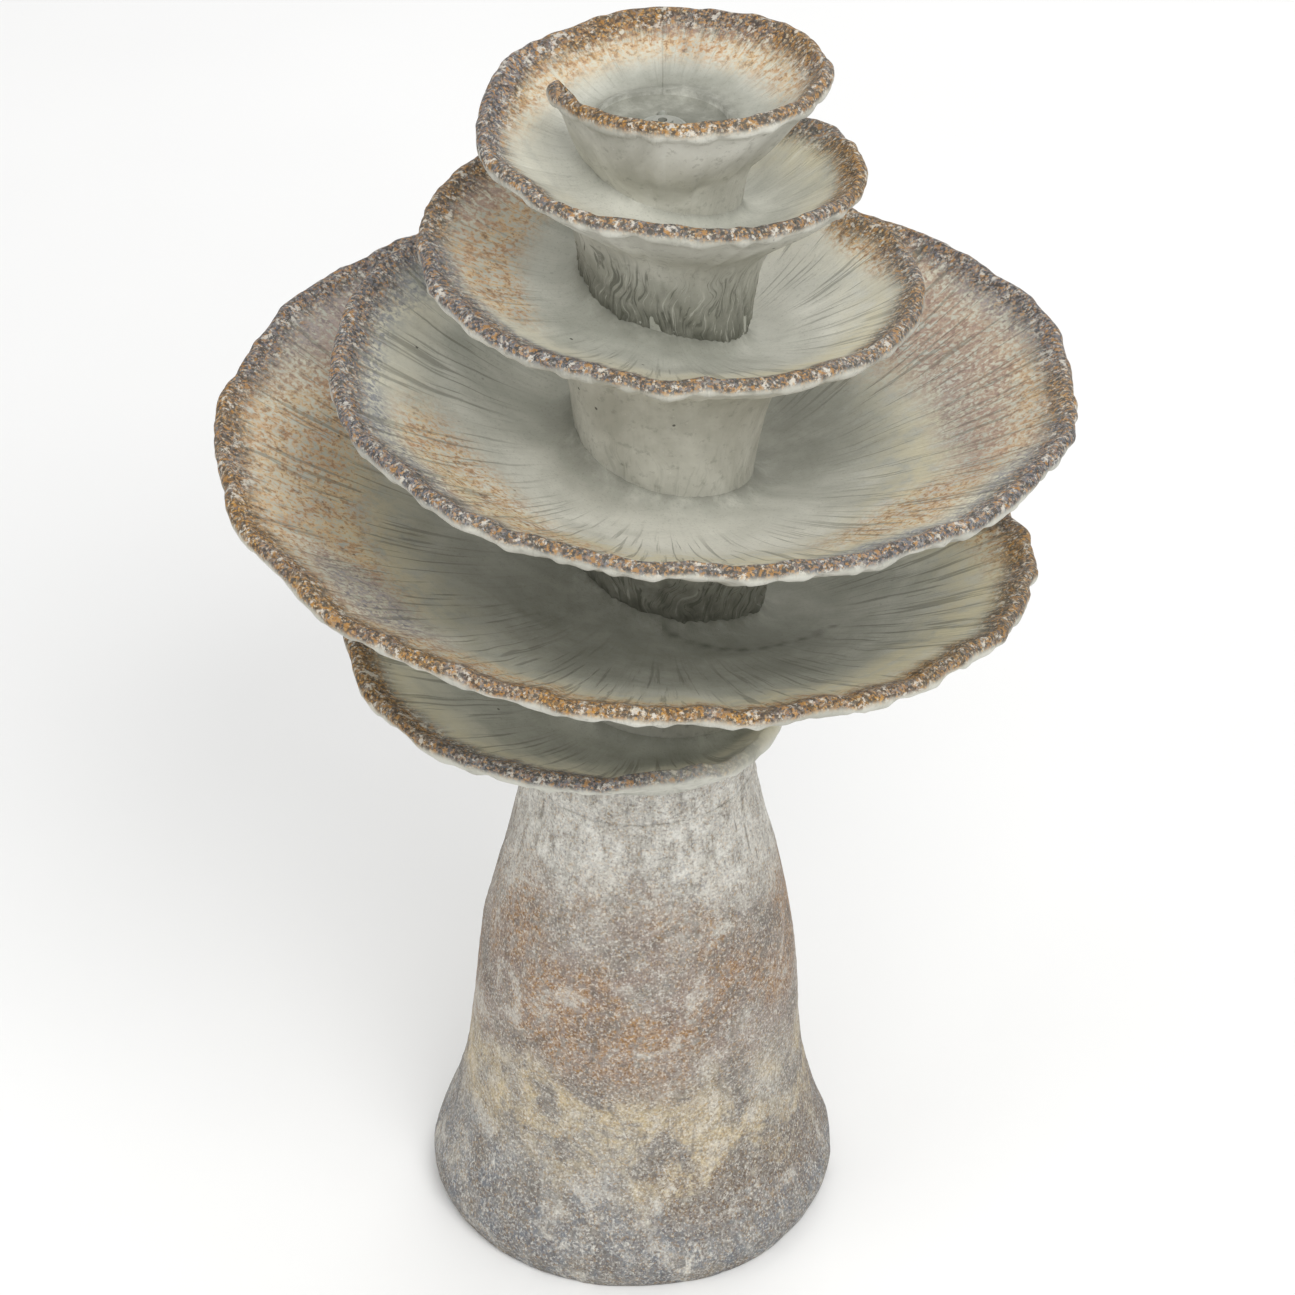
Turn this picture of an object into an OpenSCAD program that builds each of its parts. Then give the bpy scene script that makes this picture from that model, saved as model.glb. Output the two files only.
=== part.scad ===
// Spiral water fountain: one helical dish winds down a leaning pedestal.
// Seven stacked castings, a rear service panel, a riser and a submersible pump.
// Millimetres, +Z up. Origin: centre of the pedestal's flat underside.
// -Y is the front, the service panel faces +Y. The spiral falls anticlockwise
// seen from above and is measured by a turn angle that starts at 0 on -X.

/* [Spiral] */
// Distance from the pedestal axis to the spiral's axis
axis_x = 24; // [15:1:30]
// Thickness of the rolled rim
rim_thick = 17; // [14:1:20]
// How hollow the dish is (1 is a plain cone)
bowl_power = 1.6; // [1.3:0.1:2]
// How tightly the underside hugs the trunk before it flares
flare_power = 12; // [8:1:14]
// Angle between two cross-sections of a dish
sweep_step = 10; // [7.5:2.5:15]

/* [Trunk] */
// Trunk radius where the lowest dish casting begins
trunk_foot_r = 80; // [78:1:82]
// Trunk radius under the top cup
trunk_head_r = 57; // [56:1:60]
// Radius of the riser's passage through the castings
riser_bore_r = 11; // [10:0.5:14]
// Width of the water return in the neck wall
return_w = 58; // [40:2:70]

/* [Pedestal] */
// Height of the pedestal casting
pedestal_h = 430; // [430:1:430]
// Lean of the pedestal towards the spiral's axis
lean = 1; // [0:0.1:1.2]
// Thickness of the reservoir's floor
floor_t = 40; // [36:1:46]
// Width of the rear service opening
hatch_w = 96; // [90:1:100]
// Height of the rear service opening
hatch_h = 120; // [112:1:124]
// Height of the opening's sill, above the highest water level
hatch_sill = 234; // [230:1:238]

/* [Pump] */
// Width of the pump housing
pump_w = 50; // [48:1:52]
// Height of the pump housing
pump_h = 48; // [48:1:50]
// Length of the motor housing
motor_len = 50; // [50:1:54]
// Number of impeller vanes
vane_count = 6; // [4:1:8]
// Radial gap of the rotor on its shaft
shaft_gap = 0.05; // [0.02:0.01:0.08]

/* [Hidden] */
// Crest height, rim radius and floor height of the dish, one value each
// quarter turn from the free tip at the top to the merge with the neck.
crest_z = [1059, 1069, 1059, 1040, 1024, 1007, 976, 942, 924, 908, 874, 847,
           835, 813, 783, 763, 747, 705, 639, 581, 551, 541, 512, 496];
rim_r = [82, 109, 124, 139, 138, 149, 153, 171, 183, 194, 201, 225,
         250, 292, 320, 350, 345, 320, 291, 282, 253, 179, 84, 76];
floor_z = [1016, 1016, 1016, 1014, 990, 962, 936, 908, 884, 860, 824, 786,
           754, 722, 698, 672, 646, 613, 575, 536, 513, 500, 492, 484];
// Level bed joints between the castings, from under the top cup down
bed_z = [985, 890, 770, 656, 520, pedestal_h];
// Turn angle of the vertical butt joints, at the back of the fountain
butt_s = 270;
tip_s = 14;
tip_fade = 14;
merge_s = 1990;
embed = 6;
lip_steps = 5;
upper_steps = 6;
under_steps = 8;
web = 12;
neck_under_z = 457;
recess_r = 52;
recess_floor = 1008;
recess_edge = 1012;
neck_out_r = 92;
neck_in_r = 72;
neck_top_in_r = 62;
neck_lean_x = pedestal_h * tan(lean);
return_sill = 498;
// Outside of the pedestal as [height, radius], from the foot to the neck
foot_line = [[-10, 164], [0, 166], [12, 169.5], [26, 170.5], [46, 164.5], [70, 155.5],
             [95, 148], [125, 141.5], [165, 137], [210, 134.5], [265, 128.5],
             [320, 117.5], [375, 103.5], [430, 92], [445, 90]];
// Inside of the pedestal, from the reservoir's floor to the neck
well_line = [[40, 116], [50, 122], [70, 123], [100, 119], [140, 113], [200, 109],
             [260, 103], [320, 92], [380, 79.5], [430, 72], [445, 71]];
line_steps = 3;
groove_w = 14;
groove_h = 12;
stopper_x = 78;
stopper_y = -10;
stopper_r = 13;
stopper_head = 4;
cord_r = 4;
panel_t = 12;
gasket_t = 2;
panel_gap = 1;
ledge_w = 11;
hatch_corner = 14;
screw_r = 2;
screw_clear = 0.06;
screw_head_r = 4.5;
insert_r = 3.6;
insert_len = 9;
insert_sink = 1.4;
pump_x = axis_x;
pump_z = floor_t + 6;
rotor_z = pump_z + 23;
wall = 3;
volute_y = -9;
motor_y = 8;
motor_back = motor_y + motor_len;
chamber_r = 16;
eye_r = 10;
barb_r = 8;
outlet_r = 5;
tower_r = 7.5;
tower_top = pump_z + pump_h + 4;
barb_top = tower_top + 20;
hose_wall = 3;
hose_top = 345;
riser_bottom = 312;
riser_top = 998;
riser_in = 6;
clamp_h = 8;
shaft_r = 2.5;
shaft_front = -7;
shaft_back = 46;
well_r = 9.4;
tube_wall = 2;
well_back = 43;
magnet_r = 8.6;
magnet_y = [10, 42];
screen_y = -31;
dial_r = 14;
foot_x = 17;
stone = "#b5b4a8";
stone_warm = "#a79f95";
plastic = "#26272a";

// ---- curves ----

// Smooth curve through the values of a list, one value per unit of x
function at(list, i) = list[max(0, min(len(list) - 1, i))];
function spline(a, b, c, d, t) =
    b + 0.5 * t * (c - a + t * (2 * a - 5 * b + 4 * c - d + t * (3 * (b - c) + d - a)));
function smooth(list, x) =
    let (i = floor(x))
    spline(at(list, i - 1), at(list, i), at(list, i + 1), at(list, i + 2), x - i);
function along(list, s) = smooth(list, s / 90);
function ease(t) = let (c = max(0, min(1, t))) c * c * (3 - 2 * c);

// A [height, radius] line made smooth, as [radius, height] points
function turned(line, inset = 0) =
    [for (k = [0 : line_steps * (len(line) - 1)])
        let (p = smooth(line, k / line_steps)) [p[1] - inset, p[0]]];

// ---- spiral surface ----

function trunk_r(z) =
    z < bed_z[4]
    ? trunk_foot_r + (bed_z[4] - z) * (neck_out_r - trunk_foot_r) / (bed_z[4] - pedestal_h)
    : trunk_foot_r - (z - bed_z[4]) * (trunk_foot_r - trunk_head_r) / (bed_z[0] - bed_z[4]);
function neck_x(z) =
    neck_lean_x + (axis_x - neck_lean_x) * ease((z - pedestal_h) / (bed_z[4] - pedestal_h));
// Centre of the dish: it moves over to the leaning neck after the last butt joint
function centre_x(s, z) =
    axis_x + (neck_x(z) - axis_x) * ease((s - butt_s - 1440) / 40);
// Where the underside meets the trunk, just above the next turn's floor
function under_at(s) = s < butt_s + 1440 ? along(floor_z, s + 360) + 4 : neck_under_z;

// Cross-section of the dish at turn angle s, as [radius, height] points
function dish_section(s) =
    let (
        grow = 0.1 + 0.9 * ease((s - tip_s + tip_fade) / tip_fade),
        low = along(floor_z, s),
        under = under_at(s),
        root = trunk_r(low),
        foot = trunk_r(under),
        crest = low + (along(crest_z, s) - low) * grow,
        rim = max(root + 3, root + (along(rim_r, s) - root) * grow),
        lip = min(rim_thick / 2, (rim - root) / 2.2, (crest - low) / 2),
        lip_r = rim - lip,
        root_web = max(0, low - under - 2 * lip - web)
    )
    concat(
        [[root - embed, low]],
        [for (i = [1 : upper_steps]) let (t = i / (upper_steps + 1))
            [root + (lip_r - root) * t, low + (crest - low) * pow(t, bowl_power)]],
        [for (i = [0 : lip_steps]) let (a = 95 - 170 * i / lip_steps)
            [lip_r + lip * cos(a), crest - lip + lip * sin(a)]],
        [for (i = [1 : under_steps - 1]) let (t = pow(1 - i / under_steps, 2.2))
            [foot + (lip_r - foot) * t,
             low + (crest - low) * pow(t, bowl_power) - 2 * lip - web * (1 - t)
             - root_web * pow(1 - t, flare_power)]],
        [[foot - embed, low - 2 * lip - web - root_web]]
    );

module helix_solid(sections, turn) {
    n = len(sections[0]);
    m = len(sections);
    points = [for (k = [0 : m - 1]) for (p = sections[k])
        [centre_x(turn[k], p[1]) + p[0] * cos(180 + turn[k]), p[0] * sin(180 + turn[k]), p[1]]];
    sides = [for (k = [0 : m - 2]) for (j = [0 : n - 1])
        let (a = k * n + j, b = k * n + (j + 1) % n)
        each [[a, a + n, b], [b, a + n, b + n]]];
    start = [for (j = [0 : n - 1]) j];
    end = [for (j = [n - 1 : -1 : 0]) (m - 1) * n + j];
    polyhedron(points, concat([start], sides, [end]), convexity = 8);
}

// The dish between two turn angles
module dish(from_s, to_s) {
    steps = ceil((to_s - from_s) / sweep_step);
    turn = [for (k = [0 : steps]) from_s + (to_s - from_s) * k / steps];
    helix_solid([for (s = turn) dish_section(s)], turn);
}

// The dish of one casting, counted from the top cup as 1
module turn_dish(turn) {
    dish(turn == 1 ? tip_s - tip_fade : butt_s + 360 * (turn - 2),
         turn == 6 ? merge_s : butt_s + 360 * (turn - 1));
}

module trunk(bottom, top) {
    translate([axis_x, 0, bottom])
        cylinder(h = top - bottom, r1 = trunk_r(bottom), r2 = trunk_r(top), $fn = 72);
}

module riser_bore() {
    translate([axis_x, 0, pedestal_h]) cylinder(h = 700, r = riser_bore_r, $fn = 48);
}

module slab(bottom, top) {
    translate([-400, -400, bottom]) cube([800, 800, top - bottom]);
}

// The flared foot of the dish above, below its bed joint
module boss_below(turn, bed) {
    intersection() {
        turn_dish(turn);
        slab(bed - 200, bed);
    }
}

// One full turn of the spiral with its trunk, bedded on the casting below
module spiral_casting(turn) {
    top = bed_z[turn - 2];
    bottom = bed_z[turn - 1];
    difference() {
        union() {
            trunk(bottom, top);
            intersection() {
                turn_dish(turn);
                slab(bottom, 1200);
            }
            boss_below(turn - 1, top);
        }
        trunk(top, top + 60);
        riser_bore();
    }
}

module spiral_tier_2() { color(stone) spiral_casting(2); }
module spiral_tier_3() { color(stone) spiral_casting(3); }
module spiral_tier_4() { color(stone) spiral_casting(4); }
module spiral_tier_5() { color(stone) spiral_casting(5); }

// Top of the spiral: its free tip, and the recess that the water wells up in
module top_cup() {
    color(stone)
    difference() {
        union() {
            trunk(bed_z[0], recess_edge);
            intersection() {
                turn_dish(1);
                slab(bed_z[0], 1200);
            }
        }
        translate([axis_x, 0, recess_floor])
            cylinder(h = 20, r = recess_r, $fn = 72);
        riser_bore();
    }
}

// Leaning round neck between the pedestal and the spiral
module neck(bottom_r, top_r, overrun) {
    hull() {
        translate([neck_lean_x, 0, pedestal_h - overrun])
            cylinder(h = overrun + 0.01, r = bottom_r, $fn = 64);
        translate([axis_x, 0, bed_z[4] - 0.01])
            cylinder(h = overrun + 0.01, r = top_r, $fn = 64);
    }
}

// Last part of the spiral, which catches the water and lets it into the neck
module catch_tier() {
    color(stone)
    difference() {
        union() {
            intersection() {
                neck(neck_out_r, trunk_foot_r, 0.01);
                slab(pedestal_h, bed_z[4]);
            }
            intersection() {
                turn_dish(6);
                slab(pedestal_h, 1200);
            }
            boss_below(5, bed_z[4]);
        }
        neck(neck_in_r, neck_top_in_r, 5);
        trunk(bed_z[4], bed_z[4] + 60);
        translate([axis_x - return_w / 2, -110, return_sill])
            cube([return_w, 70, bed_z[4] - return_sill + 1]);
    }
}

// ---- pedestal ----

module round_plate(w, h, r) {
    square([w - 2 * r, h], center = true);
    square([w, h - 2 * r], center = true);
    for (x = [-1, 1]) for (y = [-1, 1])
        translate([x * (w / 2 - r), y * (h / 2 - r)]) circle(r = r, $fn = 32);
}

// A block through the rear wall, margin larger than the service opening
module hatch_block(margin) {
    translate([0, 180, hatch_sill + hatch_h / 2])
        rotate([90, 0, 0])
            linear_extrude(height = 130)
                round_plate(hatch_w + 2 * margin, hatch_h + 2 * margin, hatch_corner + margin);
}

// The solid inside the pedestal's outline, inset from its surface
module foot_solid(inset = 0) {
    line = turned(foot_line, inset);
    intersection() {
        rotate([0, lean, 0])
            rotate_extrude($fn = 96)
                polygon(concat([[0, line[0][1]]], line, [[0, line[len(line) - 1][1]]]));
        slab(0, pedestal_h);
    }
}

module reservoir() {
    line = turned(well_line);
    rotate([0, lean, 0])
        rotate_extrude($fn = 96)
            polygon(concat([[0, line[0][1]]], line, [[0, line[len(line) - 1][1]]]));
}

// Shell just under the rear surface, as thick as the difference of its insets
module rear_shell(outer, inner, margin) {
    intersection() {
        difference() {
            foot_solid(outer);
            foot_solid(inner);
        }
        hatch_block(margin);
    }
}

screw_z = [hatch_sill - ledge_w / 2, hatch_sill + hatch_h + ledge_w / 2];
function skin_y(z) = lookup(z, foot_line);

// Rod along +Y whose front end is under the rear surface at depth
module rear_rod(z, depth, length, r) {
    translate([0, skin_y(z) - depth, z])
        rotate([90, 0, 0]) cylinder(h = length, r = r, $fn = 32);
}

module pedestal() {
    depth = panel_t + gasket_t;
    groove_a = atan2(stopper_y, stopper_x);
    color(stone_warm)
    difference() {
        foot_solid();
        reservoir();
        hatch_block(0);
        rear_shell(0, depth, ledge_w);
        for (z = screw_z) rear_rod(z, depth - 2, insert_len + 2, insert_r);
        translate([stopper_x, stopper_y, -1]) cylinder(h = floor_t + 20, r = stopper_r, $fn = 48);
        rotate([0, 0, groove_a])
            translate([norm([stopper_x, stopper_y]), -groove_w / 2, -1])
                cube([120, groove_w, groove_h + 1]);
    }
}

// ---- rear service panel ----

module access_panel() {
    color(stone_warm)
    difference() {
        rear_shell(0, panel_t, ledge_w - panel_gap);
        for (z = screw_z) {
            rear_rod(z, -10, 60, screw_r + 0.4);
            rear_rod(z, -10, 14, screw_head_r + 1);
        }
    }
}

module panel_gasket() {
    color(plastic)
    difference() {
        rear_shell(panel_t, panel_t + gasket_t, ledge_w - panel_gap);
        hatch_block(1);
        for (z = screw_z) rear_rod(z, -10, 60, screw_r + 0.4);
    }
}

module panel_screws() {
    color("silver")
    for (z = screw_z) {
        rear_rod(z, 2, 18, screw_r);
        difference() {
            rear_rod(z, 1, 3, screw_head_r);
            translate([0, skin_y(z), z]) cube([7, 4, 1.4], center = true);
        }
    }
}

module panel_inserts() {
    color("goldenrod")
    for (z = screw_z)
        difference() {
            rear_rod(z, panel_t + gasket_t + insert_sink, insert_len - insert_sink, insert_r);
            rear_rod(z, 0, 60, screw_r + screw_clear);
        }
}

// ---- cord stopper and water line ----

// Rubber plug in the reservoir's floor, with the cord's hole through it
module cord_stopper() {
    color(plastic)
    translate([stopper_x, stopper_y, groove_h])
    difference() {
        union() {
            cylinder(h = floor_t - groove_h, r = stopper_r, $fn = 48);
            translate([0, 0, floor_t - groove_h]) cylinder(h = stopper_head, r = stopper_r + 4, $fn = 48);
        }
        translate([0, 0, -1]) cylinder(h = floor_t + stopper_head, r = cord_r, $fn = 32);
    }
}

module tube(bottom, top, outer, inner) {
    translate([axis_x, 0, bottom])
    difference() {
        cylinder(h = top - bottom, r = outer, $fn = 48);
        translate([0, 0, -1]) cylinder(h = top - bottom + 2, r = inner, $fn = 48);
    }
}

module supply_hose() { color("lightgrey") tube(tower_top, hose_top, barb_r + hose_wall, barb_r); }

module riser_pipe() { color("white") tube(riser_bottom, riser_top, barb_r, riser_in); }

// Worm-drive bands, each with its screw block
module hose_clamps() {
    outer = barb_r + hose_wall;
    color("silver")
    for (z = [tower_top + 6, hose_top - 16]) {
        tube(z, z + clamp_h, outer + 1, outer);
        translate([axis_x - 6, outer, z]) cube([12, 5, clamp_h]);
        translate([axis_x + 5, outer + 3.5, z + clamp_h / 2])
            rotate([0, 90, 0]) cylinder(h = 6, r = 2.5, $fn = 6);
    }
}

module riser_grommets() {
    color(plastic) {
        tube(bed_z[4], bed_z[4] + 18, riser_bore_r, barb_r);
        tube(bed_z[4] - 4, bed_z[4], riser_bore_r + 6, barb_r);
        tube(bed_z[0], riser_top, riser_bore_r, barb_r);
    }
}

module outlet_fitting() {
    color(plastic)
    translate([axis_x, 0, 0])
    difference() {
        union() {
            translate([0, 0, riser_top - 18]) cylinder(h = 20, r = riser_in, $fn = 48);
            translate([0, 0, riser_top]) cylinder(h = recess_floor - riser_top, r = barb_r, $fn = 48);
            translate([0, 0, recess_floor]) cylinder(h = 3, r = 15, $fn = 48);
            translate([0, 0, recess_floor]) cylinder(h = 8, r = 8, $fn = 6);
        }
        translate([0, 0, riser_top - 20]) cylinder(h = 50, r = 3.5, $fn = 32);
    }
}

// Bead of sealant round the outlet's flange, with the lump it ends in
module outlet_sealant() {
    color("#8e8f86") {
        translate([axis_x, 0, recess_floor])
            rotate_extrude($fn = 48)
                difference() {
                    translate([17, 0]) circle(r = 2.5, $fn = 24);
                    translate([0, -5]) square([30, 5]);
                    square([15, 10]);
                }
        translate([axis_x, 21, recess_floor])
            intersection() {
                sphere(r = 4, $fn = 24);
                translate([-5, -5, 0]) cube([10, 10, 5]);
            }
    }
}

// ---- pump ----

// Rod along +Y on a line through the pump, offset from the rotor's axis
module pump_rod(from_y, to_y, r, x = 0, z = 0, sides = 48) {
    translate([pump_x + x, from_y, rotor_z + z])
        rotate([-90, 0, 0]) cylinder(h = to_y - from_y, r = r, $fn = sides);
}

// Rounded block round the pump, from its base up
module pump_block(from_y, to_y, w, low, high, r) {
    translate([pump_x, to_y, pump_z + (low + high) / 2])
        rotate([90, 0, 0])
            linear_extrude(height = to_y - from_y) round_plate(w, high - low, r);
}

module pump_housing() {
    color(plastic)
    difference() {
        pump_block(motor_y, motor_back, pump_w, 0, pump_h, 5);
        difference() {
            pump_block(motor_y + 5, motor_back + 1, pump_w - 2 * wall, wall, pump_h - wall, 3);
            pump_rod(motor_y, well_back + 7, well_r + tube_wall);
        }
        pump_rod(motor_y - 1, well_back, well_r);
        pump_rod(motor_y, well_back + 4, 6);
    }
}

module motor_cap() {
    color(plastic)
    difference() {
        pump_block(motor_back - wall, motor_back, pump_w - 2 * wall, wall, pump_h - wall, 3);
        pump_rod(motor_back - 9, motor_back + 9, 4.5, 12, -8);
    }
}

// Steel laminations: two poles round the rotor's well, joined by a yoke
module stator_core() {
    color("#6b6e73")
    translate([pump_x, 40, rotor_z])
        rotate([90, 0, 0])
            linear_extrude(height = 20)
                difference() {
                    union() {
                        translate([-19, -14]) square([38, 27]);
                        translate([-19, 15]) square([38, 6]);
                        for (x = [-19, 14]) translate([x, 0]) square([5, 21]);
                    }
                    circle(r = well_r + tube_wall + 0.2, $fn = 64);
                    translate([-3, -20]) square([6, 34]);
                }
}

module stator_coil() {
    color("#a8622c")
    difference() {
        translate([pump_x - 11, 17, rotor_z + 13]) cube([22, 26, 8.8]);
        translate([pump_x - 12, 20, rotor_z + 15]) cube([24, 20, 6]);
    }
}

module rotor_bore() {
    pump_rod(volute_y, well_back + 5, shaft_r + shaft_gap);
}

module rotor_magnet() {
    color("#3a3a3d")
    difference() {
        pump_rod(magnet_y[0], magnet_y[1], magnet_r);
        rotor_bore();
    }
}

module impeller() {
    color("white")
    difference() {
        union() {
            pump_rod(-3, magnet_y[0], 5);
            pump_rod(4.5, 6, chamber_r - 1.5);
            for (k = [0 : vane_count - 1])
                translate([pump_x, -2.5, rotor_z])
                    rotate([0, 360 * k / vane_count, 0])
                        translate([3.5, 0, -0.7]) cube([chamber_r - 5.5, 7.5, 1.4]);
        }
        rotor_bore();
    }
}

module rotor_shaft() { color("ivory") pump_rod(shaft_front, shaft_back, shaft_r); }

module shaft_bushings() {
    color(plastic)
    difference() {
        union() {
            pump_rod(volute_y, -5.5, 4.5);
            pump_rod(well_back, well_back + 4, 6);
        }
        pump_rod(shaft_front, shaft_back, shaft_r);
    }
}

// Pump chamber with its inlet eye, shaft boss and upright barb
module volute_cover() {
    color(plastic)
    difference() {
        union() {
            pump_rod(volute_y, motor_y, chamber_r + 3.9);
            pump_block(motor_y - 3, motor_y, 44, 2.5, 44, 4);
            translate([pump_x, 0, rotor_z]) cylinder(h = tower_top - rotor_z, r = tower_r, $fn = 48);
            translate([pump_x, 0, tower_top]) cylinder(h = barb_top - tower_top, r = barb_r, $fn = 48);
        }
        pump_rod(-5.5, motor_y + 1, chamber_r);
        difference() {
            pump_rod(volute_y - 3, -5, eye_r);
            pump_rod(volute_y - 2, -5.5, 6.5);
            for (k = [0 : 2])
                translate([pump_x, volute_y - 2, rotor_z])
                    rotate([0, 120 * k - 90, 0])
                        translate([0, 0, -1.3]) cube([eye_r + 1, 5.5, 2.6]);
        }
        pump_rod(volute_y - 2, -5, 4.5);
        translate([pump_x, 0, rotor_z]) cylinder(h = 80, r = outlet_r, $fn = 32);
        translate([pump_x, motor_y, rotor_z])
            rotate([90, 0, 0])
                rotate_extrude($fn = 64) translate([chamber_r + 0.95, -1]) square([2, 3]);
    }
}

module volute_ring() {
    color("black")
    translate([pump_x, motor_y - 1, rotor_z])
        rotate([90, 0, 0])
            rotate_extrude($fn = 64) translate([chamber_r + 1.95, 0]) circle(r = 0.95, $fn = 16);
}

// Slotted strainer that slips over the pump chamber from the front
module intake_cover() {
    back = motor_y - 0.4;
    color(plastic)
    difference() {
        pump_block(screen_y, back, pump_w, 0, pump_h, 5);
        pump_block(screen_y + 2, back + 1, pump_w - 4, 2, pump_h - 2, 4);
        translate([pump_x - tower_r - 1, -tower_r - 1.5, rotor_z])
            cube([2 * tower_r + 2, 60, 60]);
        for (x = [-21, -17.5, 15.5, 19])
            translate([pump_x + x, screen_y - 1, pump_z + 8]) cube([2, 4, pump_h - 16]);
        for (k = [0 : 3])
            rotate_at_rotor(90 * k + 45)
                translate([4.5, screen_y - 1, -2.5]) cube([8, 4, 5]);
        for (y = [-26 : 5 : -4]) for (side = [-1, 1])
            translate([pump_x + side * (pump_w / 2 - 1) - 2, y, pump_z + 8])
                cube([4, 2.2, pump_h - 16]);
        pump_rod(screen_y - 1, screen_y + 3, shaft_r + shaft_gap + 0.01);
    }
}

module rotate_at_rotor(a) {
    translate([pump_x, 0, rotor_z]) rotate([0, a, 0]) children();
}

// Disc that closes the strainer's front ports by a quarter turn
module flow_dial() {
    front = screen_y - 0.4;
    color("#4a4d52")
    difference() {
        union() {
            pump_rod(front - 2.4, front, dial_r);
            pump_rod(front - 2.4, screen_y + 3.4, shaft_r);
            pump_rod(screen_y + 2.4, screen_y + 3.9, shaft_r + 1.2);
            rotate_at_rotor(0) translate([-9, front - 7, -1.5]) cube([18, 5, 3]);
        }
        for (k = [0 : 3])
            rotate_at_rotor(90 * k + 45)
                translate([4.5, front - 3, -2.5]) cube([8, 4, 5]);
    }
}

module suction_feet() {
    color("#33353a")
    for (x = [-foot_x, foot_x]) for (y = [motor_y + 7, motor_back - 7])
        translate([pump_x + x, y, floor_t])
            difference() {
                cylinder(h = pump_z - floor_t, r1 = 7.5, r2 = 3.5, $fn = 32);
                translate([0, 0, -0.01]) cylinder(h = 2, r1 = 6, r2 = 2.5, $fn = 32);
            }
}

// Strain relief where the mains lead enters the potted motor
module pump_gland() {
    color(plastic)
    difference() {
        union() {
            pump_rod(motor_back - 6, motor_back - wall, 6, 12, -8);
            pump_rod(motor_back - wall - 1, motor_back + 4, 4.5, 12, -8);
            translate([pump_x + 12, motor_back + 4, rotor_z - 8])
                rotate([-90, 0, 0]) cylinder(h = 14, r1 = 4.5, r2 = 3.6, $fn = 48);
        }
        pump_rod(motor_back - 9, motor_back + 30, 2.8, 12, -8);
    }
}

pedestal();
catch_tier();
spiral_tier_5();
spiral_tier_4();
spiral_tier_3();
spiral_tier_2();
top_cup();
access_panel();
panel_gasket();
panel_screws();
panel_inserts();
cord_stopper();
supply_hose();
hose_clamps();
riser_pipe();
riser_grommets();
outlet_fitting();
outlet_sealant();
pump_housing();
motor_cap();
stator_core();
stator_coil();
rotor_magnet();
impeller();
rotor_shaft();
shaft_bushings();
volute_cover();
volute_ring();
intake_cover();
flow_dial();
suction_feet();
pump_gland();
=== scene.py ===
"""Looks of the spiral stone fountain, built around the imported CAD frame. Metres, +Z up, -Y front.

The seven castings and the service panel are rebuilt as dense meshes on the CAD's own dimensions.
The plumbing and the pump keep their CAD shapes and get new materials.
"""

import math

import bmesh
import bpy
import numpy as np
from mathutils import Matrix, Vector


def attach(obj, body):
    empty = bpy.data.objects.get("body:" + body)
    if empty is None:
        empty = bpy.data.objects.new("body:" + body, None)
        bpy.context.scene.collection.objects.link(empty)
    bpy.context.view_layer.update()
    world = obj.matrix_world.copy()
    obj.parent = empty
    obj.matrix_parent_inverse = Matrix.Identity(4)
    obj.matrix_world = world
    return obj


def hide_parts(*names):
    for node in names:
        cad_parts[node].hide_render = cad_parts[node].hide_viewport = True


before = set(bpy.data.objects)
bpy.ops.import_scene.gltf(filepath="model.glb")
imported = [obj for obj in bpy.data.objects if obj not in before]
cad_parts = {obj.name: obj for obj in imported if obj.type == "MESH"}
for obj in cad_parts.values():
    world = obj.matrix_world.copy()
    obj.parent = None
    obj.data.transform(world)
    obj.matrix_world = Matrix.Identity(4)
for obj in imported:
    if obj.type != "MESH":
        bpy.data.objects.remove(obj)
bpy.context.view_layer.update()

MM = 0.001

# ---- dimensions shared with the CAD model, in millimetres ----

AXIS_X = 24.0            # the spiral's axis, from the pedestal's
RIM_THICK = 17.0
BOWL_POWER = 1.6         # how late the bowl rises towards its rim
FLARE_POWER = 12         # how late the underside flares out from the trunk below
WEB = 12.0               # stone under the bowl at its root
EMBED = 6.0              # how far a dish runs into its trunk
BORE_R = 11.0
LEAN = math.radians(1)
PEDESTAL_H = 430.0

# One value for each quarter turn of the spiral, from the tip down: the rim's crest, the rim's
# radius and the bowl's floor at the trunk. The beds are the castings' joints.
CREST_Z = [1059, 1069, 1059, 1040, 1024, 1007, 976, 942, 924, 908, 874, 847,
           835, 813, 783, 763, 747, 705, 639, 581, 551, 541, 512, 496]
RIM_R = [82, 109, 124, 139, 138, 149, 153, 171, 183, 194, 201, 225,
         250, 292, 320, 350, 345, 320, 291, 282, 253, 179, 84, 76]
FLOOR_Z = [1016, 1016, 1016, 1014, 990, 962, 936, 908, 884, 860, 824, 786,
           754, 722, 698, 672, 646, 613, 575, 536, 513, 500, 492, 484]
BED_Z = [985, 890, 770, 656, 520, PEDESTAL_H]
TRUNK_FOOT_R, TRUNK_HEAD_R = 80.0, 57.0
NECK_OUT_R, NECK_IN_R, NECK_TOP_IN_R = 92.0, 72.0, 62.0
NECK_UNDER_Z = 457.0
BUTT_S, TIP_S, TIP_FADE, MERGE_S = 270, 14, 14, 1990    # turn angles in degrees
RECESS_R, RECESS_FLOOR, RECESS_EDGE = 52.0, 1008.0, 1012.0
RETURN_W, RETURN_SILL = 58.0, 498.0

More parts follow.
